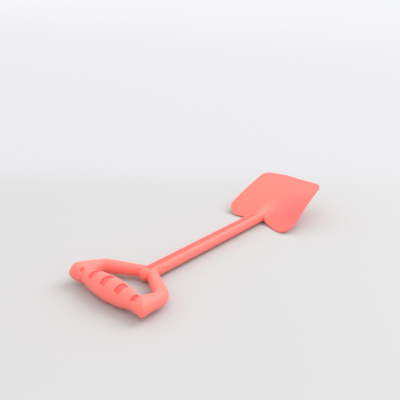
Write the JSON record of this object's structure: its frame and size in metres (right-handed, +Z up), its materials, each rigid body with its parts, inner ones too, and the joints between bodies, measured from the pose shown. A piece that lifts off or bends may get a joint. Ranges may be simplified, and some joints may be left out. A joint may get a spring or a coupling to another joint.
{
  "type": "sand shovel",
  "caption": "Child's sand shovel with a D-handle, a barrel grip with finger windows, a grooved shaft and a dished blade with rounded corners.",
  "frame": {"origin": "middle of the shovel's footprint, on the floor that the grip and the keel's foot rest on", "axes": "+X along the shaft towards the blade's tip, +Y across the handle, +Z up out of the blade's face as the shovel lies face up"},
  "size_m": [0.4046, 0.125, 0.0481],
  "materials": {
    "coral": "satin moulded polypropylene, light coral",
    "deep_coral": "satin moulded polypropylene, deeper coral"
  },
  "bodies": {
    "root": {"grip_sleeve": "coral", "grip_core": "deep_coral", "handle_frame": "coral", "shaft_cap": "coral", "shaft": "coral", "blade": "coral"}
  },
  "joints": []
}
